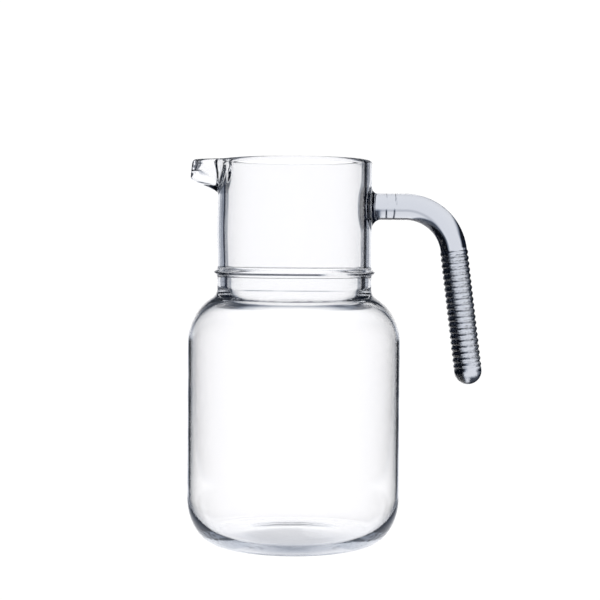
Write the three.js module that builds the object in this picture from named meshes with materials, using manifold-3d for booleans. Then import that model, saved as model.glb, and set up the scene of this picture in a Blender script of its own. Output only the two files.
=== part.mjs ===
// A two litre glass water jug: a blown vessel with a pulled spout, and a solid glass handle
// welded to its neck. Millimetres, +Z up. The origin is the bottom centre of the jug's box,
// the handle points along +X and the spout along -X.

import * as THREE from "three";
import { mergeVertices } from "three/addons/utils/BufferGeometryUtils.js";
import Module from "manifold-3d";

// Vessel: radii are from its own upright axis and heights are above the table.
const HEIGHT = 238.5;
const BODY_RADIUS = 66.25;
const NECK_RADIUS = 48.3;
const LOWER_NECK_RADIUS = 48.2; // below the bead
const BODY_WALL = 1.8;
const NECK_WALL = 5.0;
const RIM_HEIGHT = 2.4; // of the rounded lip at the top of the wall
const FOOT_RING = { inner: 40.5, outer: 46.5 }; // the flat ring that the jug stands on
const PUSH_UP = 3.5; // height of the hollow under the base
const FLOOR = { edgeRadius: 44.5, edgeHeight: 4.2, centreHeight: 6.9 };
const HEEL_TOP = 28.5;
const INNER_HEEL_TOP = 29;
const SHOULDER = { centreRadius: 36.25, centreHeight: 124.5, rise: 32.7, endAngle: 60 };
const INNER_SHOULDER = { rise: 29.2, endAngle: 65 };
const THROAT_RADIUS = 42; // narrowest inside radius, just under the bead
const LEDGE = { bottom: 166.8, top: 171.2 }; // where the throat opens to the neck's bore
const BEAD = { height: 168.9, halfWidth: 3.4, depth: 2.1, upperFlank: 1.2, lowerFlank: 1.65 };

// The neck swells a little on the spout's side, most at the middle one of these heights.
const NECK_SWELL = 0.5;
const SWELL_SPREAD = 0.9; // radians to each side where the swell has died down to 1/e
const SWELL = { from: 173, widest: 195, to: 217.4 };

// Spout: the wall is pulled out towards -X by SPOUT_REACH.
const SPOUT_REACH = 16.7;
const SPOUT_SPREAD = 15; // degrees to each side where the pull has died down to 1/e
const SPOUT_LEAN = 0.9; // how far the tip leans back between its widest height and the rim
const SPOUT_UNDERSIDE = { from: 217.4, to: 227.5 };
const SPOUT_CHANNEL = { from: 223, to: 231 };
const CHANNEL_TOP = 235.5; // just under the rounded lip
const SPOUT_KEEL = 7; // how much higher those start at the spread's angle than at the middle
const KEEL_LIMIT = 1.2; // in spreads, beyond which they start no higher
const SPOUT_LIP = 3.2; // wall thickness at the tip

// Handle: a round glass rod with a flared foot, one bend and a ribbed grip.
const ROD_RADIUS = 8.25;
const STUB_HEIGHT = 210;
const BEND_START = 69; // from the vessel's axis
const BEND_RADIUS = 30.6;
const BEND_ANGLE = 82.8; // degrees, so the grip leans outwards by 7.2
const GRIP_LENGTH = 75.8; // from the bend to the centre of the round end
const RIBBED_LENGTH = 74.2;
const RIB_COUNT = 20;
const RIB_CREST = 8.8;
const RIB_VALLEY = 8;
const TIP_RADIUS = 8.6;
const FLARE_RADIUS = 5; // of the fillet where the foot meets the neck
const WELD_GAP = 0.3; // clearance that keeps the two solids apart
const FOOT_DEPTH = 4; // how far the foot runs into the neck before it is cut to fit

// Fineness of the facets.
const VESSEL_SEGMENTS = 60;
const SEGMENT_CROWDING = 0.45; // 0 spreads the vessel's segments evenly, 1 crowds them at the spout
const HANDLE_SEGMENTS = 22;
const BEND_STEPS = 12;

const { cos, sin, abs, exp, PI } = Math;
const { degToRad, smoothstep, lerp } = THREE.MathUtils;
const point = (radius, height) => new THREE.Vector2(radius, height);

const wasm = await Module();
wasm.setup();

function toManifold(geometry) {
  const bare = geometry.clone();
  bare.deleteAttribute("normal");
  bare.deleteAttribute("uv");
  const merged = mergeVertices(bare, 1e-4);
  return new wasm.Manifold(new wasm.Mesh({
    numProp: 3,
    vertProperties: new Float32Array(merged.attributes.position.array),
    triVerts: new Uint32Array(merged.index.array),
  }));
}

function toGeometry(solid) {
  const mesh = solid.getMesh();
  const geometry = new THREE.BufferGeometry();
  geometry.setAttribute("position", new THREE.BufferAttribute(mesh.vertProperties, 3));
  geometry.setIndex(new THREE.BufferAttribute(mesh.triVerts, 1));
  geometry.computeVertexNormals();
  return geometry;
}

// Points of an elliptical arc between two angles in degrees, ends included.
function arc(centre, radii, fromAngle, toAngle, steps) {
  const curve = new THREE.EllipseCurve(
    centre[0], centre[1], radii[0], radii[1],
    degToRad(fromAngle), degToRad(toAngle), toAngle < fromAngle, 0,
  );
  return curve.getPoints(steps);
}

// The shoulder's arc from the body up to endAngle, then the hollow fillet that runs tangent
// to it into an upright wall of neckRadius.
function shoulderProfile(width, rise, endAngle, neckRadius, steps) {
  const centre = [SHOULDER.centreRadius, SHOULDER.centreHeight];
  const shoulder = arc(centre, [width, rise], 0, endAngle, steps);
  const end = shoulder[shoulder.length - 1];
  const angle = degToRad(endAngle);
  const normal = point(rise * cos(angle), width * sin(angle)).normalize();
  const filletRadius = (end.x - neckRadius) / (1 - normal.x);
  const filletCentre = [neckRadius + filletRadius, end.y + filletRadius * normal.y];
  const startAngle = 180 + THREE.MathUtils.radToDeg(Math.atan2(normal.y, normal.x));
  const fillet = arc(filletCentre, [filletRadius, filletRadius], startAngle, 180, 3);
  return [...shoulder, ...fillet.slice(1)];
}

// A narrow bead with hollow flanks, steeper above than below, that also takes up the small
// step between the lower and the upper neck.
function beadProfile(steps) {
  return Array.from({ length: steps + 1 }, (_, i) => {
    const t = lerp(-1, 1, i / steps);
    const wall = lerp(LOWER_NECK_RADIUS, NECK_RADIUS, smoothstep(t, -1, 1));
    const flank = t > 0 ? BEAD.upperFlank : BEAD.lowerFlank;
    const ridge = BEAD.depth * exp(-((BEAD.halfWidth * t / flank) ** 2)) * (1 - t ** 4);
    return point(wall + ridge, BEAD.height + BEAD.halfWidth * t);
  });
}

// A low dome from the axis to its edge, as half a cosine wave: the push-up under the base and
// the floor above it.
function domeProfile(edgeRadius, edgeHeight, centreHeight, steps) {
  return Array.from({ length: steps + 1 }, (_, i) => {
    const t = i / steps;
    const share = 0.5 + 0.5 * cos(PI * t);
    return point(edgeRadius * t, lerp(edgeHeight, centreHeight, share));
  });
}

// An upright wall between two heights, with rings of points for the spout's pull to bend.
function uprightWall(radius, from, to, steps) {
  return Array.from({ length: steps + 1 }, (_, i) => point(radius, lerp(from, to, i / steps)));
}

function outerProfile() {
  const width = BODY_RADIUS - SHOULDER.centreRadius;
  const heelWidth = BODY_RADIUS - FOOT_RING.outer;
  return [
    ...domeProfile(FOOT_RING.inner, 0, PUSH_UP, 5),
    ...arc([FOOT_RING.outer, HEEL_TOP], [heelWidth, HEEL_TOP], -90, 0, 7),
    ...shoulderProfile(width, SHOULDER.rise, SHOULDER.endAngle, LOWER_NECK_RADIUS, 5),
    ...beadProfile(12),
    ...uprightWall(NECK_RADIUS, SWELL.from, SWELL.to, 8),
    ...uprightWall(NECK_RADIUS, SPOUT_UNDERSIDE.from, SPOUT_UNDERSIDE.to + SPOUT_KEEL, 10).slice(1),
  ];
}

function innerProfile() {
  const bore = NECK_RADIUS - NECK_WALL;
  const width = BODY_RADIUS - BODY_WALL - SHOULDER.centreRadius;
  const heelWidth = BODY_RADIUS - BODY_WALL - FLOOR.edgeRadius;
  const heelDrop = INNER_HEEL_TOP - FLOOR.edgeHeight;
  const upwards = [
    ...domeProfile(FLOOR.edgeRadius, FLOOR.edgeHeight, FLOOR.centreHeight, 5).slice(0, -1),
    ...arc([FLOOR.edgeRadius, INNER_HEEL_TOP], [heelWidth, heelDrop], -90, 0, 6),
    ...shoulderProfile(width, INNER_SHOULDER.rise, INNER_SHOULDER.endAngle, THROAT_RADIUS, 4),
    point(THROAT_RADIUS, LEDGE.bottom),
    point(bore, LEDGE.top),
    ...uprightWall(bore, SWELL.from, SWELL.to, 8),
    ...uprightWall(bore, SPOUT_CHANNEL.from, CHANNEL_TOP, 8),
  ];
  return upwards.reverse();
}

function vesselProfile() {
  const rimCentre = [NECK_RADIUS - NECK_WALL / 2, HEIGHT - RIM_HEIGHT];
  const rim = arc(rimCentre, [NECK_WALL / 2, RIM_HEIGHT], 0, 180, 6);
  return [...outerProfile(), ...rim, ...innerProfile()];
}

// How far the wall is pulled out at an angle from the spout's middle, at a height. The inside
// starts higher than the underside and is pulled a little further, down to the lip's thickness.
function spoutPull(angle, height, isInside) {
  const range = isInside ? SPOUT_CHANNEL : SPOUT_UNDERSIDE;
  const aside = abs(angle) / degToRad(SPOUT_SPREAD);
  const keel = SPOUT_KEEL * Math.min(aside, KEEL_LIMIT) ** 2;
  const thinning = isInside ? NECK_WALL - SPOUT_LIP : 0;
  const lean = SPOUT_LEAN * smoothstep(height, range.to, HEIGHT);
  const share = exp(-(aside ** 3)) * smoothstep(height, range.from + keel, range.to + keel);
  return (SPOUT_REACH + thinning - lean) * share;
}

// How far both faces of the neck's wall swell out towards the spout.
function neckSwell(angle, height) {
  const spread = exp(-((angle / SWELL_SPREAD) ** 2));
  const rising = smoothstep(height, SWELL.from, SWELL.widest);
  const fading = 1 - smoothstep(height, SWELL.widest, SWELL.to);
  return NECK_SWELL * spread * rising * fading;
}

// The lathe's even segments are crowded towards the spout, then the wall is pulled out there.
function pullSpout(geometry) {
  const position = geometry.attributes.position;
  const wallMiddle = NECK_RADIUS - NECK_WALL / 2;
  for (let i = 0; i < position.count; i += 1) {
    const radius = Math.hypot(position.getX(i), position.getY(i));
    const even = Math.atan2(position.getY(i), -position.getX(i));
    const angle = even - SEGMENT_CROWDING * sin(even);
    const height = position.getZ(i);
    const isInside = radius < wallMiddle - 0.1;
    const reach = radius + spoutPull(angle, height, isInside) + neckSwell(angle, height);
    position.setXY(i, -reach * cos(angle), reach * sin(angle));
  }
}

function makeVessel() {
  const geometry = new THREE.LatheGeometry(vesselProfile(), VESSEL_SEGMENTS);
  geometry.rotateX(PI / 2);
  pullSpout(geometry);
  return toGeometry(toManifold(geometry));
}

const BEND_LENGTH = degToRad(BEND_ANGLE) * BEND_RADIUS;
const STUB_LENGTH = BEND_START - NECK_RADIUS;

// The rod laid straight: radius against distance from the neck's outer wall.
function rodProfile() {
  const flare = arc([FLARE_RADIUS, ROD_RADIUS + FLARE_RADIUS], [FLARE_RADIUS, FLARE_RADIUS], 180, 270, 5)
    .map((p) => point(p.y, p.x));
  const bend = Array.from({ length: BEND_STEPS + 1 }, (_, i) =>
    point(ROD_RADIUS, STUB_LENGTH + BEND_LENGTH * i / BEND_STEPS));
  const pitch = RIBBED_LENGTH / RIB_COUNT;
  const gripStart = STUB_LENGTH + BEND_LENGTH;
  const ribs = Array.from({ length: RIB_COUNT }, (_, i) => [
    point(RIB_CREST, gripStart + pitch * (i + 0.3)),
    point(RIB_CREST, gripStart + pitch * (i + 0.7)),
    point(RIB_VALLEY, gripStart + pitch * (i + 1)),
  ]).flat();
  const tip = arc([gripStart + GRIP_LENGTH, 0], [TIP_RADIUS, TIP_RADIUS], 90, 0, 6)
    .map((p) => point(p.y, p.x));
  return [point(0, -FOOT_DEPTH), point(ROD_RADIUS + FLARE_RADIUS, -FOOT_DEPTH),
    ...flare, ...bend, ...ribs, ...tip];
}

// Where the rod's centre line is, and which way it faces, at a distance along it.
function centreLine(distance) {
  const turned = THREE.MathUtils.clamp((distance - STUB_LENGTH) / BEND_RADIUS, 0, degToRad(BEND_ANGLE));
  const beyond = Math.max(distance - STUB_LENGTH - BEND_LENGTH, 0);
  const before = Math.min(distance, STUB_LENGTH);
  const outward = new THREE.Vector3(sin(turned), 0, cos(turned));
  const along = new THREE.Vector3(cos(turned), 0, -sin(turned));
  const centre = new THREE.Vector3(NECK_RADIUS + before, 0, STUB_HEIGHT - BEND_RADIUS)
    .addScaledVector(outward, BEND_RADIUS)
    .addScaledVector(along, beyond);
  return { centre, outward };
}

function bendRod(geometry) {
  const position = geometry.attributes.position;
  const sideways = new THREE.Vector3(0, -1, 0);
  for (let i = 0; i < position.count; i += 1) {
    const { centre, outward } = centreLine(position.getY(i));
    const placed = centre
      .addScaledVector(outward, position.getZ(i))
      .addScaledVector(sideways, position.getX(i));
    position.setXYZ(i, placed.x, placed.y, placed.z);
  }
}

// The foot is cut to the neck's curve, a gap away from it.
function makeHandle() {
  const rod = new THREE.LatheGeometry(rodProfile(), HANDLE_SEGMENTS);
  bendRod(rod);
  const neckRadius = NECK_RADIUS + WELD_GAP;
  const neck = new THREE.CylinderGeometry(neckRadius, neckRadius, 4 * BEND_RADIUS, 90);
  neck.rotateX(PI / 2);
  neck.translate(0, 0, STUB_HEIGHT);
  return toGeometry(toManifold(rod).subtract(toManifold(neck)));
}

const clearGlass = () => new THREE.MeshStandardMaterial({
  color: 0xdfe6ee,
  roughness: 0.04,
  metalness: 0,
});

function namedMesh(name, geometry) {
  const mesh = new THREE.Mesh(geometry, clearGlass());
  mesh.name = name;
  return mesh;
}

const vessel = namedMesh("vessel", makeVessel());
const handle = namedMesh("handle", makeHandle());

// The jug's parts share the vessel's axis, which is moved so that the origin is the middle of
// the whole jug's length.
const jug = new THREE.Group();
jug.add(vessel, handle);
const length = new THREE.Box3().setFromObject(jug);
jug.position.x = -(length.min.x + length.max.x) / 2;

const group = new THREE.Group();
group.add(jug);

export default group;
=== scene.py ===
"""A two litre glass water jug on a white sweep: the blown vessel and its welded rod handle.

Both glass solids are made again here as fine smooth meshes in the places that the CAD solids
hold. Lengths are in metres, +Z is up, the handle points along +X and the spout along -X.
Angles are in degrees unless a comment says otherwise.
"""

import math

import bpy
import numpy as np
from mathutils import Euler, Matrix, Vector


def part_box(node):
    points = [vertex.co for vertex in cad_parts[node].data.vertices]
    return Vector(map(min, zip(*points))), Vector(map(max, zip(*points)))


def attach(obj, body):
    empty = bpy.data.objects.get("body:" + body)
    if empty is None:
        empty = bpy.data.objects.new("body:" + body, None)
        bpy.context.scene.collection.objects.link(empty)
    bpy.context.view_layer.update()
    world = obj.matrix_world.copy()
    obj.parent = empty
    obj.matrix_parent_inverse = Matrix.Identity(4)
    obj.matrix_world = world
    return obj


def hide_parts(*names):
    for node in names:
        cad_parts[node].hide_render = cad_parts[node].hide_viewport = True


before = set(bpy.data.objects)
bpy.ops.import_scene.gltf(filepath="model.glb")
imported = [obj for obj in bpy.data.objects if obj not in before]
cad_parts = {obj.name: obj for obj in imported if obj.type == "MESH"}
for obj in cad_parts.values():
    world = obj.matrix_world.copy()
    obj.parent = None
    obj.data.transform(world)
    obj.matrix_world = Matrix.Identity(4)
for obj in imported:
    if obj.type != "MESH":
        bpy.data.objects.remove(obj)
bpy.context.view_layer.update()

vessel_low, vessel_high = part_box("vessel")

# ---------------------------------------------------------------- vessel dimensions
AXIS_X = (vessel_low[0] + vessel_high[0]) / 2
HEIGHT = vessel_high[2]
BODY_RADIUS = (vessel_high[1] - vessel_low[1]) / 2
NECK_RADIUS = 0.0483
LOWER_NECK_RADIUS = 0.0482  # below the bead
BODY_WALL = 0.0018
NECK_WALL = 0.0050
RIM_HEIGHT = 0.0024  # of the rounded lip at the top of the wall
FOOT_RING = (0.0405, 0.0465)  # inner and outer radius of the flat ring that the jug stands on
PUSH_UP = 0.0035  # height of the hollow under the base
FLOOR_EDGE = (0.0445, 0.0042)  # radius and height
FLOOR_CENTRE = 0.0069
HEEL_TOP = 0.0285
INNER_HEEL_TOP = 0.0290
SHOULDER_CENTRE = (0.03625, 0.1245)  # radius and height
SHOULDER_RISE = 0.0327
SHOULDER_END = 60
INNER_SHOULDER_RISE = 0.0292
INNER_SHOULDER_END = 65
THROAT_RADIUS = 0.0420  # narrowest inside radius, just under the bead
LEDGE = (0.1668, 0.1712)  # heights between which the throat opens to the neck's bore
BEAD_HEIGHT = 0.1689
BEAD_HALF_WIDTH = 0.0034
BEAD_DEPTH = 0.0021
BEAD_FLANKS = {"upper": 0.0012, "lower": 0.00165}
BEAD_CROWDING = 0.6  # 0 spreads its rings evenly, 1 crowds them at the crest
NECK_SWELL = 0.0005  # the neck is slightly wider towards the spout
SWELL_SPREAD = 0.9  # radians to each side where the swell has died down to 1/e
SWELL_HEIGHTS = (0.1730, 0.1950, 0.2174)  # where it begins, is widest and ends

SPOUT_REACH = 0.0167
SPOUT_SPREAD = 15  # to each side where the pull has died down to 1/e
SPOUT_LEAN = 0.0009  # how far the tip leans back between its widest height and the rim
SPOUT_UNDERSIDE = (0.2174, 0.2275)  # heights between which the wall is pulled out
SPOUT_CHANNEL = (0.2230, 0.2310)
SPOUT_KEEL = 0.0070  # how much higher those start at the spread's angle than at the middle
KEEL_LIMIT = 1.2  # in spreads, beyond which they start no higher
SPOUT_MARGIN = 0.0010  # the fine rings of the spout start this far below it
LIP_MARGIN = 0.0006  # and inside they end this far below the rounded lip
SPOUT_LIP = 0.0032  # wall thickness at the tip

# ---------------------------------------------------------------- handle dimensions
ROD_RADIUS = 0.00825
STUB_HEIGHT = 0.2100
BEND_START = 0.0690  # from the vessel's axis
BEND_RADIUS = 0.0306
BEND_ANGLE = math.radians(82.8)
RIBBED_LENGTH = 0.0742
GRIP_LENGTH = 0.0758  # from the bend to the centre of the round end
RIB_COUNT = 20
RIB_CREST = 0.0088
RIB_VALLEY = 0.0080
RIB_POWER = 0.6  # of the ribs' wave: 1 is a plain wave, and less makes the grooves narrower
TIP_RADIUS = 0.0086
FOOT_FILLET = {"top": 0.0034, "side": 0.0030, "bottom": 0.0055}
FOOT_TOP = 0.0060  # distance from the neck at which the rod's even stretch starts
FOOT_EMBED = 0.0007  # how far the foot sinks into the neck, as a weld
DIMPLE_DEPTH = 0.0010
DIMPLE_RADIUS = 0.0115
# Marks of the tongs: distance from the neck, slant, depth and half width of each ring.
TONG_MARKS = ((0.0090, 0.0002, 0.00012, 0.00022), (0.0143, 0.0013, 0.00020, 0.00028))
TONG_MARKS_FADE = (-0.9, 0.0)  # minus the cosine of the angle from the stub's top, where they end

# ---------------------------------------------------------------- fineness
VESSEL_SEGMENTS = 224
SEGMENT_CROWDING = 0.35  # 0 spreads the vessel's segments evenly, 1 crowds them at the spout
HANDLE_SEGMENTS = 72
STEPS_PER_RIB = 12


def smoothstep(values, low, high):
    t = np.clip((values - low) / (high - low), 0, 1)
    return t * t * (3 - 2 * t)


def arc(centre, radii, start, end, steps):
    """Points of an elliptical arc between two angles, ends included."""
    angles = np.radians(np.linspace(start, end, steps + 1))
    return np.column_stack([
        centre[0] + radii[0] * np.cos(angles),
        centre[1] + radii[1] * np.sin(angles),
    ])


def line(start, end, steps):
    return np.linspace(start, end, steps + 1)


def dome(edge_radius, edge_height, centre_height, steps):
    """A low dome from the axis to its edge, as half a cosine wave."""
    radius = np.linspace(0, edge_radius, steps + 1)
    share = 0.5 + 0.5 * np.cos(np.pi * radius / edge_radius)
    return np.column_stack([radius, edge_height + (centre_height - edge_height) * share])


def joined(*stretches):
    """One profile from stretches that meet end to start, without the doubled points."""
    points = [stretches[0]]
    for stretch in stretches[1:]:
        points.append(stretch[1:] if np.allclose(stretch[0], points[-1][-1]) else stretch)
    return np.vstack(points)


def shoulder(width, rise, end_angle, neck_radius, steps):
    """The shoulder's arc up to end_angle, then the hollow fillet tangent to it and to the neck."""
    crown = arc(SHOULDER_CENTRE, (width, rise), 0, end_angle, steps)
    angle = math.radians(end_angle)
    normal = Vector((rise * math.cos(angle), width * math.sin(angle))).normalized()
    radius = (crown[-1][0] - neck_radius) / (1 - normal.x)
    centre = (neck_radius + radius, crown[-1][1] + radius * normal.y)
    start = 180 + math.degrees(math.atan2(normal.y, normal.x))
    return joined(crown, arc(centre, (radius, radius), start, 180, steps // 2))


def bead(steps):
    """A narrow ridge with hollow flanks, over the neck's slight step."""
    even = np.linspace(-1, 1, steps + 1)
    t = BEAD_CROWDING * even ** 3 + (1 - BEAD_CROWDING) * even
    wall = LOWER_NECK_RADIUS + (NECK_RADIUS - LOWER_NECK_RADIUS) * smoothstep(t, -1, 1)
    flank = np.where(t > 0, BEAD_FLANKS["upper"], BEAD_FLANKS["lower"])
    ridge = BEAD_DEPTH * np.exp(-((BEAD_HALF_WIDTH * t / flank) ** 2)) * (1 - t ** 4)
    return np.column_stack([wall + ridge, BEAD_HEIGHT + BEAD_HALF_WIDTH * t])


def outer_profile():
    heel = (BODY_RADIUS - FOOT_RING[1], HEEL_TOP)
    width = BODY_RADIUS - SHOULDER_CENTRE[0]
    crown = shoulder(width, SHOULDER_RISE, SHOULDER_END, LOWER_NECK_RADIUS, 26)
    bead_points = bead(36)
    underside = SPOUT_UNDERSIDE[0] - SPOUT_MARGIN, SPOUT_UNDERSIDE[1] + SPOUT_KEEL
    return joined(
        dome(FOOT_RING[0], 0, PUSH_UP, 20),
        line((FOOT_RING[0], 0), (FOOT_RING[1], 0), 3),
        arc((FOOT_RING[1], HEEL_TOP), heel, -90, 0, 32),
        line((BODY_RADIUS, HEEL_TOP), (BODY_RADIUS, SHOULDER_CENTRE[1]), 16),
        crown,
        line(crown[-1], bead_points[0], 3),
        bead_points,
        line(bead_points[-1], (NECK_RADIUS, underside[0]), 10),
        line((NECK_RADIUS, underside[0]), (NECK_RADIUS, underside[1]), 34),
        line((NECK_RADIUS, underside[1]), (NECK_RADIUS, HEIGHT - RIM_HEIGHT), 2),
    )


def inner_profile():
    bore = NECK_RADIUS - NECK_WALL
    inner_body = BODY_RADIUS - BODY_WALL
    heel = (inner_body - FLOOR_EDGE[0], INNER_HEEL_TOP - FLOOR_EDGE[1])
    width = inner_body - SHOULDER_CENTRE[0]
    crown = shoulder(width, INNER_SHOULDER_RISE, INNER_SHOULDER_END, THROAT_RADIUS, 24)
    ledge_height = np.linspace(*LEDGE, 13)
    ledge = THROAT_RADIUS + (bore - THROAT_RADIUS) * smoothstep(ledge_height, *LEDGE)
    channel = SPOUT_CHANNEL[0] - SPOUT_MARGIN, HEIGHT - RIM_HEIGHT - LIP_MARGIN
    return joined(
        dome(*FLOOR_EDGE, FLOOR_CENTRE, 12),
        arc((FLOOR_EDGE[0], INNER_HEEL_TOP), heel, -90, 0, 28),
        line((inner_body, INNER_HEEL_TOP), (inner_body, SHOULDER_CENTRE[1]), 16),
        crown,
        line(crown[-1], (THROAT_RADIUS, LEDGE[0]), 3),
        np.column_stack([ledge, ledge_height]),
        line((bore, LEDGE[1]), (bore, channel[0]), 30),
        line((bore, channel[0]), (bore, channel[1]), 30),
        line((bore, channel[1]), (bore, HEIGHT - RIM_HEIGHT), 2),
    )


def spout_pull(angle, height, inside):
    """How far the wall is pulled out at an angle (radians) from the spout's middle, at a height."""
    start, end = SPOUT_CHANNEL if inside else SPOUT_UNDERSIDE
    aside = np.abs(angle / math.radians(SPOUT_SPREAD))
    keel = SPOUT_KEEL * np.minimum(aside, KEEL_LIMIT) ** 2
    thinning = NECK_WALL - SPOUT_LIP if inside else 0
    lean = SPOUT_LEAN * smoothstep(height, end, HEIGHT)
    reach = (SPOUT_REACH + thinning - lean) * np.exp(-aside ** 3)
    return reach * smoothstep(height, start + keel, end + keel)


def neck_swell(angle, height):
    """How far both faces of the neck's wall swell out towards the spout."""
    begins, widest, ends = SWELL_HEIGHTS
    swell = NECK_SWELL * np.exp(-((angle / SWELL_SPREAD) ** 2))
    return swell * smoothstep(height, begins, widest) * (1 - smoothstep(height, widest, ends))


def dimple(angle, height):
    """The wall behind the handle's foot is pressed inwards where the hot rod was set on it."""
    across = (math.pi - np.abs(angle)) * NECK_RADIUS
    distance = np.hypot(across, height - STUB_HEIGHT)
    return DIMPLE_DEPTH * np.exp(-((distance / DIMPLE_RADIUS) ** 4))


def mesh_object(name, vertices, faces):
    mesh = bpy.data.meshes.new(name)
    mesh.from_pydata([tuple(v) for v in vertices], [], faces)
    mesh.validate()
    mesh.polygons.foreach_set("use_smooth", [True] * len(mesh.polygons))
    mesh.update()
    piece = bpy.data.objects.new(name, mesh)
    bpy.context.collection.objects.link(piece)
    return piece


def revolve_faces(rings, segments):
    """Faces of a tube of rings that is closed by a pole point at each end."""
    first = 0
    last = rings * segments + 1

    def at(ring, segment):
        return 1 + ring * segments + segment % segments

    faces = [(first, at(0, k), at(0, k + 1)) for k in range(segments)]
    for ring in range(rings - 1):
        for k in range(segments):
            faces.append((at(ring, k), at(ring + 1, k), at(ring + 1, k + 1), at(ring, k + 1)))
    faces += [(last, at(rings - 1, k + 1), at(rings - 1, k)) for k in range(segments)]
    return faces


def make_vessel():
    outer = outer_profile()
    inner = inner_profile()[::-1]
    rim_centre = (NECK_RADIUS - NECK_WALL / 2, HEIGHT - RIM_HEIGHT)
    rim = arc(rim_centre, (NECK_WALL / 2, RIM_HEIGHT), 0, 180, 18)[1:-1]
    profile = np.vstack([outer, rim, inner])
    inside = np.arange(len(profile)) >= len(outer) + len(rim) / 2
    even = np.linspace(-math.pi, math.pi, VESSEL_SEGMENTS, endpoint=False)
    angle = even - SEGMENT_CROWDING * np.sin(even)
    rings = []
    for (radius, height), is_inside in zip(profile[1:-1], inside[1:-1]):
        reach = radius + (spout_pull(angle, height, is_inside) + neck_swell(angle, height))
        if is_inside:
            reach = reach - dimple(angle, height)
        rings.append(np.column_stack([
            AXIS_X - reach * np.cos(angle),
            reach * np.sin(angle),
            np.full(VESSEL_SEGMENTS, height),
        ]))
    poles = (AXIS_X, 0, profile[0][1]), (AXIS_X, 0, profile[-1][1])
    vertices = np.vstack([[poles[0]], *rings, [poles[1]]])
    return mesh_object("jug_vessel", vertices, revolve_faces(len(rings), VESSEL_SEGMENTS))


BEND_LENGTH = BEND_ANGLE * BEND_RADIUS
STUB_LENGTH = BEND_START - NECK_RADIUS
GRIP_START = STUB_LENGTH + BEND_LENGTH


def centre_line(distance):
    """The rod's centre, and the way out of its bend, at a distance from the neck's surface."""
    turned = min(max((distance - STUB_LENGTH) / BEND_RADIUS, 0), BEND_ANGLE)
    beyond = max(distance - GRIP_START, 0)
    outward = np.array([math.sin(turned), 0, math.cos(turned)])
    along = np.array([math.cos(turned), 0, -math.sin(turned)])
    start = np.array([AXIS_X + NECK_RADIUS + min(distance, STUB_LENGTH), 0, STUB_HEIGHT - BEND_RADIUS])
    return start + outward * BEND_RADIUS + along * beyond, outward


def rod_radius(distance):
    """The plain rod, then a row of round beads with narrow grooves between them, then the tip."""
    t = (distance - GRIP_START) / RIBBED_LENGTH
    if t <= 0:
        return ROD_RADIUS
    if t >= 1:
        return TIP_RADIUS
    phase = t * RIB_COUNT % 1
    hump = (0.5 - 0.5 * math.cos(2 * math.pi * phase)) ** RIB_POWER
    return RIB_VALLEY + (RIB_CREST - RIB_VALLEY) * hump


def stub_marks(distance, theta):
    """Fine rings around the stub, fading towards its top, where the hot rod was held by tongs."""
    marks = 0
    for place, slant, depth, half_width in TONG_MARKS:
        offset = distance - place - slant * np.cos(theta)
        marks = marks + depth * np.exp(-(offset / half_width) ** 2)
    return marks * smoothstep(-np.cos(theta), *TONG_MARKS_FADE)


def foot_ring(theta, part):
    """A ring of the foot: part 0 is where the fillet leaves the rod, 1 its edge on the neck."""
    up = np.cos(theta)
    side = np.abs(np.sin(theta))
    ends = np.where(up > 0, FOOT_FILLET["top"], FOOT_FILLET["bottom"])
    fillet = FOOT_FILLET["side"] * side ** 2 + ends * up ** 2
    a = part * math.pi / 2
    across = ROD_RADIUS + fillet * (1 - math.cos(a))
    y = across * np.sin(theta)
    x = np.sqrt(NECK_RADIUS ** 2 - y ** 2) + fillet * (1 - math.sin(a))
    return np.column_stack([AXIS_X + x, y, STUB_HEIGHT + across * up])


def foot_cap(theta, scale):
    """A ring of the cap that lies just inside the neck's wall, parallel to its surface."""
    edge = foot_ring(theta, 1)
    y = edge[:, 1] * scale
    z = STUB_HEIGHT + (edge[:, 2] - STUB_HEIGHT) * scale
    x = np.sqrt((NECK_RADIUS - FOOT_EMBED) ** 2 - y ** 2)
    return np.column_stack([AXIS_X + x, y, z])


def rod_distances():
    """Where the rod's rings are: sparse on smooth stretches and dense on the marks and ribs."""
    stub = np.linspace(FOOT_TOP, STUB_LENGTH, 130)
    bend = np.linspace(STUB_LENGTH, GRIP_START, 44)[1:]
    ribs_end = GRIP_START + RIBBED_LENGTH
    ribs = np.linspace(GRIP_START, ribs_end, RIB_COUNT * STEPS_PER_RIB + 1)[1:]
    return np.concatenate([stub, bend, ribs])


def make_handle():
    theta = np.linspace(0, 2 * math.pi, HANDLE_SEGMENTS, endpoint=False)
    rings = [foot_cap(theta, scale) for scale in np.linspace(0.12, 1, 9)]
    rings += [foot_ring(theta, part) for part in np.linspace(1, 0, 13)]
    across = np.sin(theta)[:, None] * np.array([0, 1, 0])
    up = np.cos(theta)[:, None]
    for distance in rod_distances():
        centre, outward = centre_line(distance)
        radius = rod_radius(distance) - stub_marks(distance, theta)
        rings.append(centre + np.asarray(radius).reshape(-1, 1) * (across + up * outward))
    dome_centre, outward = centre_line(GRIP_START + GRIP_LENGTH)
    along = np.cross(outward, [0, -1, 0])
    for a in np.radians(np.linspace(0, 90, 18)[:-1]):
        radius = TIP_RADIUS * math.cos(a)
        rings.append(dome_centre + along * TIP_RADIUS * math.sin(a) + radius * (across + up * outward))
    cap_centre = (AXIS_X + NECK_RADIUS - FOOT_EMBED, 0, STUB_HEIGHT)
    tip = dome_centre + along * TIP_RADIUS
    vertices = np.vstack([[cap_centre], *rings, [tip]])
    return mesh_object("jug_handle", vertices, revolve_faces(len(rings), HANDLE_SEGMENTS))


# ---------------------------------------------------------------- shader helpers
def add_node(material, kind, **settings):
    node = material.node_tree.nodes.new(kind)
    for name, value in settings.items():
        setattr(node, name, value)
    return node


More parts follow.
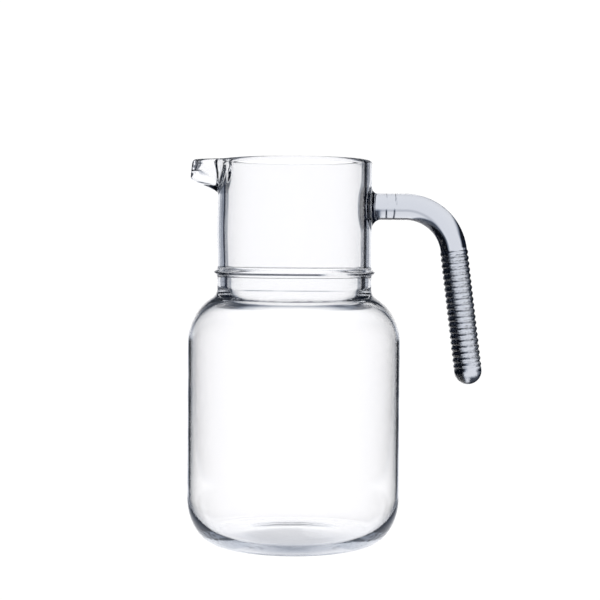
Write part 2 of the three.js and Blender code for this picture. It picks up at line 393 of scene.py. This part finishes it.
def calculate(material, operation, first, second):
    """A maths node whose inputs are sockets or numbers."""
    node = add_node(material, "ShaderNodeMath", operation=operation)
    for socket, value in zip(node.inputs, (first, second)):
        if isinstance(value, (int, float)):
            socket.default_value = value
        else:
            material.node_tree.links.new(value, socket)
    return node.outputs[0]


def graded(material, source, span, at_low, at_high):
    """A smooth change from one value to another as the source passes through a span."""
    node = add_node(material, "ShaderNodeMapRange", interpolation_type="SMOOTHSTEP")
    settings = {"From Min": span[0], "From Max": span[1], "To Min": at_low, "To Max": at_high}
    for name, value in settings.items():
        node.inputs[name].default_value = value
    material.node_tree.links.new(source, node.inputs["Value"])
    return node.outputs["Result"]


def product(material, *factors):
    value = factors[0]
    for factor in factors[1:]:
        value = calculate(material, "MULTIPLY", value, factor)
    return value


def total(material, *terms):
    value = terms[0]
    for term in terms[1:]:
        value = calculate(material, "ADD", value, term)
    return value


# ---------------------------------------------------------------- glass
GLASS_IOR = 1.52
# Colour and density (1/m) of the absorption, then scale (1/m) and height (m) of faint waves.
VESSEL_GLASS = ((0.74, 0.765, 0.80), 20, 90, 0.00002)
HANDLE_GLASS = ((0.17, 0.24, 0.36), 40, 160, 0.00003)
GRIP_MOTTLE_SCALE = 1100
GRIP_MOTTLE_DEPTH = 7  # times the height of the handle's waves
GRIP_MOTTLE_TOP = (0.176, 0.184)  # heights between which it fades out


def glass(name, absorption_colour, absorption_density, wave_scale, wave_height):
    """Clear glass with faint waves in its surface."""
    material = bpy.data.materials.new(name)
    material.use_nodes = True
    nodes, links = material.node_tree.nodes, material.node_tree.links
    shader = nodes["Principled BSDF"]
    shader.inputs["Base Color"].default_value = (1, 1, 1, 1)
    shader.inputs["Transmission Weight"].default_value = 1
    shader.inputs["IOR"].default_value = GLASS_IOR
    shader.inputs["Roughness"].default_value = 0
    place = nodes.new("ShaderNodeTexCoord")
    waves = nodes.new("ShaderNodeTexNoise")
    waves.inputs["Scale"].default_value = wave_scale
    waves.inputs["Detail"].default_value = 2
    links.new(place.outputs["Object"], waves.inputs["Vector"])
    bump = nodes.new("ShaderNodeBump")
    bump.inputs["Distance"].default_value = wave_height
    bump.inputs["Strength"].default_value = 1
    links.new(waves.outputs["Fac"], bump.inputs["Height"])
    links.new(bump.outputs["Normal"], shader.inputs["Normal"])
    absorption = nodes.new("ShaderNodeVolumeAbsorption")
    absorption.inputs["Color"].default_value = (*absorption_colour, 1)
    absorption.inputs["Density"].default_value = absorption_density
    links.new(absorption.outputs["Volume"], nodes["Material Output"].inputs["Volume"])
    return material


def mottle_grip(material):
    """Adds the fine unevenness of pressed glass to the waves, from the grip's top down."""
    links = material.node_tree.links
    bump = next(node for node in material.node_tree.nodes if node.bl_idname == "ShaderNodeBump")
    place = add_node(material, "ShaderNodeTexCoord")
    axes = add_node(material, "ShaderNodeSeparateXYZ")
    links.new(place.outputs["Object"], axes.inputs[0])
    grain = add_node(material, "ShaderNodeTexNoise")
    grain.inputs["Scale"].default_value = GRIP_MOTTLE_SCALE
    links.new(place.outputs["Object"], grain.inputs["Vector"])
    depth = graded(material, axes.outputs["Z"], GRIP_MOTTLE_TOP, GRIP_MOTTLE_DEPTH, 0)
    waves = bump.inputs["Height"].links[0].from_socket
    mottled = total(material, waves, product(material, grain.outputs["Fac"], depth))
    links.new(mottled, bump.inputs["Height"])


# ---------------------------------------------------------------- camera
CAMERA_DISTANCE = 0.937
CAMERA_HEIGHT = 0.1813
CAMERA_SIDE = 0.0036
CAMERA_PITCH = 1.825
CAMERA_ROLL = 0.385
FOCAL_LENGTH = 90
SENSOR_WIDTH = 36


def make_camera():
    data = bpy.data.cameras.new("camera")
    data.lens = FOCAL_LENGTH
    data.sensor_width = SENSOR_WIDTH
    camera = bpy.data.objects.new("camera", data)
    camera.location = (AXIS_X + CAMERA_SIDE, -CAMERA_DISTANCE, CAMERA_HEIGHT)
    aim = Euler((math.radians(90 - CAMERA_PITCH), 0, 0)).to_matrix()
    roll = Matrix.Rotation(math.radians(CAMERA_ROLL), 3, "Z")
    camera.rotation_euler = (aim @ roll).to_euler()
    bpy.context.collection.objects.link(camera)
    bpy.context.scene.camera = camera
    bpy.context.view_layer.update()
    return camera


# ---------------------------------------------------------------- studio
# A bright field in a dark room, seen by the glass alone. Places are in the jug's own frame at
# the first view, with x counted from the vessel's axis, and the panels follow the camera from
# there. A light changes smoothly between the two places that a pair gives.
WHITE = 1.05  # of what the camera sees behind and under the jug
WHITE_LEVEL = 1.25  # of the lights in the glass at their brightest
DIM_LEVEL = 0.02
DIM_TINT = (0.70, 0.80)  # red and green of the dimmest light, where blue is 1
WHITE_TINT = (0.99, 0.985)
ROOM_COLOUR = (0.010, 0.015, 0.030)
FLAG_COLOUR = (0.004, 0.005, 0.008)

BACKDROP_DISTANCE = 0.96
BACKDROP_HALF_WIDTH = 0.88
BACKDROP_HEIGHT = 1.3
NARROW_EDGE = (0.195, 0.430)  # of the light near the table, to each side
WIDE_EDGE = (0.38, 0.45)  # of the light behind the neck, to each side
WIDE_BOTTOM = (0.10, 0.16)  # heights at which the narrow light gives way to the wide one
FADE = (0.30, 0.48)  # heights
FADED_SHARE = 0.10
BELT_LEVEL = 0.45  # of the dim belt beyond the wide light
BELT_FADE = (0.22, 0.34)  # heights
BELT_FADED_SHARE = 0.3
STRIP_LEVEL = 1.10
STRIP_LEFT = (0.07, 0.12)
STRIP_RIGHT = (0.30, 0.40)
STRIP_BOTTOM = (0.30, 0.55)  # heights

ROAD_HALF_WIDTH = 0.5
ROAD_NEAR_END = -0.12
ROAD_LIT_HALF_WIDTH = 0.085  # beside the jug
ROAD_WIDENING = 0.25  # of that, for each metre away from the camera
ROAD_EDGE = (0.60, 1.32)  # in lit half widths
# Painted shade of the jug's shadow on the table: the road is dimmed to these shares of its level
# before the jug and under it.
ROAD_PAINTED_SHADE_FRONT = (-0.062, -0.034)  # depths
ROAD_PAINTED_SHADE_FRONT_SHARE = 0.25
ROAD_PAINTED_SHADE_MIDDLE = (-0.03, 0.04)
ROAD_PAINTED_SHADE_MIDDLE_SHARE = 0.78
PANEL_DROP = 0.001  # how far the road lies under the table's top, so that the jug clears it

FLAG_LEFT = (0.152, 0.136)  # x and y of its upright edges
FLAG_RIGHT = (0.43, 0.16)
FLAG_HEIGHTS = (0.04, 0.30)


def emission(name, colour=(1, 1, 1), strength=1):
    material = bpy.data.materials.new(name)
    material.use_nodes = True
    nodes, links = material.node_tree.nodes, material.node_tree.links
    nodes.remove(nodes["Principled BSDF"])
    light = nodes.new("ShaderNodeEmission")
    light.inputs["Color"].default_value = (*colour, 1)
    light.inputs["Strength"].default_value = strength
    links.new(light.outputs["Emission"], nodes["Material Output"].inputs["Surface"])
    return material


def panel(name, corners, material, camera):
    """A flat light or flag. It is parented to the camera, so it follows the camera to every
    view, but the camera doesn't see it."""
    piece = mesh_object(name, corners, [(0, 1, 2, 3)])
    piece.data.materials.append(material)
    piece.visible_camera = False
    piece.visible_shadow = False
    piece.parent = camera
    piece.matrix_parent_inverse = camera.matrix_world.inverted()


def position(material):
    """Where a point of a panel was made: its x from the vessel's axis, its y and its z."""
    place = add_node(material, "ShaderNodeTexCoord")
    axes = add_node(material, "ShaderNodeSeparateXYZ")
    material.node_tree.links.new(place.outputs["Object"], axes.inputs[0])
    across = calculate(material, "SUBTRACT", axes.outputs["X"], AXIS_X)
    return across, axes.outputs["Y"], axes.outputs["Z"]


def shine(material, level):
    """Sets the light's level, and tints it the bluer the dimmer it is."""
    links = material.node_tree.links
    emitter = material.node_tree.nodes["Emission"]
    colour = add_node(material, "ShaderNodeCombineColor")
    for channel, dim, white in zip(("Red", "Green"), DIM_TINT, WHITE_TINT):
        links.new(graded(material, level, (0, WHITE_LEVEL), dim, white), colour.inputs[channel])
    colour.inputs["Blue"].default_value = 1
    links.new(colour.outputs["Color"], emitter.inputs["Color"])
    links.new(level, emitter.inputs["Strength"])


def backdrop_light():
    """Narrow near the table, wide behind the neck with a dim belt to each side, and fading
    upwards, apart from one tall strip behind the handle."""
    material = emission("studio_backdrop")
    across, _, height = position(material)
    aside = calculate(material, "ABSOLUTE", across, 0)
    fade = graded(material, height, FADE, 1, FADED_SHARE)
    above = graded(material, height, WIDE_BOTTOM, 0, 1)
    narrow = product(
        material,
        graded(material, aside, NARROW_EDGE, WHITE_LEVEL, DIM_LEVEL),
        graded(material, height, WIDE_BOTTOM, 1, 0),
        fade,
    )
    wide = product(material, graded(material, aside, WIDE_EDGE, WHITE_LEVEL, 0), above, fade)
    belt = product(
        material,
        graded(material, aside, WIDE_EDGE, 0, BELT_LEVEL),
        above,
        graded(material, height, BELT_FADE, 1, BELT_FADED_SHARE),
    )
    strip = product(
        material,
        graded(material, across, STRIP_LEFT, 0, STRIP_LEVEL),
        graded(material, across, STRIP_RIGHT, 1, 0),
        graded(material, height, STRIP_BOTTOM, 0, 1),
    )
    shine(material, total(material, narrow, wide, belt, strip))
    return material


def road_light():
    """The table's bright strip: it widens away from the camera, and painted shade dims it before and
    under the jug, standing in for the jug's shadow on the table.
    """
    material = emission("studio_road")
    across, depth, _ = position(material)
    aside = calculate(material, "ABSOLUTE", across, 0)
    widening = product(material, depth, ROAD_WIDENING)
    share_aside = calculate(material, "DIVIDE", aside, total(material, widening, ROAD_LIT_HALF_WIDTH))
    level = product(
        material,
        graded(material, share_aside, ROAD_EDGE, WHITE_LEVEL, DIM_LEVEL),
        # painted shade: the jug's shadow on the table, before and under its foot
        graded(material, depth, ROAD_PAINTED_SHADE_FRONT, ROAD_PAINTED_SHADE_FRONT_SHARE, 1),
        graded(material, depth, ROAD_PAINTED_SHADE_MIDDLE, ROAD_PAINTED_SHADE_MIDDLE_SHARE, 1),
    )
    shine(material, level)
    return material


def make_studio(camera):
    left, right = AXIS_X - BACKDROP_HALF_WIDTH, AXIS_X + BACKDROP_HALF_WIDTH
    back = BACKDROP_DISTANCE
    bottom = -2 * PANEL_DROP
    backdrop = [(left, back, bottom), (right, back, bottom),
                (right, back, BACKDROP_HEIGHT), (left, back, BACKDROP_HEIGHT)]
    panel("backdrop", backdrop, backdrop_light(), camera)

    left, right = AXIS_X - ROAD_HALF_WIDTH, AXIS_X + ROAD_HALF_WIDTH
    road = [(left, ROAD_NEAR_END, -PANEL_DROP), (right, ROAD_NEAR_END, -PANEL_DROP),
            (right, back, -PANEL_DROP), (left, back, -PANEL_DROP)]
    panel("road", road, road_light(), camera)

    low, high = FLAG_HEIGHTS
    (left, left_y), (right, right_y) = FLAG_LEFT, FLAG_RIGHT
    flag = [(AXIS_X + left, left_y, low), (AXIS_X + right, right_y, low),
            (AXIS_X + right, right_y, high), (AXIS_X + left, left_y, high)]
    panel("handle_flag", flag, emission("studio_black", FLAG_COLOUR), camera)


def make_floor():
    """A white table to the camera. The glass sees the road instead."""
    size = 6
    corners = [(-size, -size, 0), (size, -size, 0), (size, size, 0), (-size, size, 0)]
    floor = mesh_object("floor", corners, [(0, 1, 2, 3)])
    floor.data.materials.append(emission("floor_white", strength=WHITE))
    floor.visible_glossy = False
    floor.visible_transmission = False


def make_world():
    """White to the camera, and a dim room to the glass."""
    world = bpy.data.worlds.new("studio")
    world.use_nodes = True
    nodes, links = world.node_tree.nodes, world.node_tree.links
    nodes.clear()
    path = nodes.new("ShaderNodeLightPath")
    seen = nodes.new("ShaderNodeBackground")
    seen.inputs["Color"].default_value = (1, 1, 1, 1)
    seen.inputs["Strength"].default_value = WHITE
    dim = nodes.new("ShaderNodeBackground")
    dim.inputs["Color"].default_value = (*ROOM_COLOUR, 1)
    dim.inputs["Strength"].default_value = 1
    mix = nodes.new("ShaderNodeMixShader")
    out = nodes.new("ShaderNodeOutputWorld")
    links.new(path.outputs["Is Camera Ray"], mix.inputs["Fac"])
    links.new(dim.outputs[0], mix.inputs[1])
    links.new(seen.outputs[0], mix.inputs[2])
    links.new(mix.outputs[0], out.inputs["Surface"])
    bpy.context.scene.world = world


def set_light_paths():
    """Enough bounces for light to cross every wall of the jug, and no filmic tone curve."""
    bounces = 32
    scene = bpy.context.scene
    scene.view_settings.view_transform = "Standard"
    scene.cycles.max_bounces = bounces
    scene.cycles.transmission_bounces = bounces
    scene.cycles.glossy_bounces = bounces
    scene.cycles.blur_glossy = 0


# ---------------------------------------------------------------- the scene
vessel = make_vessel()
handle = make_handle()
vessel.data.materials.append(glass("vessel_glass", *VESSEL_GLASS))
handle.data.materials.append(glass("handle_glass", *HANDLE_GLASS))
mottle_grip(handle.data.materials[0])
for piece, node, slot in ((vessel, "vessel", "vessel_glass"), (handle, "handle", "handle_glass")):
    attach(piece, "root")
    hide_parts(node)

camera = make_camera()
make_studio(camera)
make_floor()
make_world()
set_light_paths()
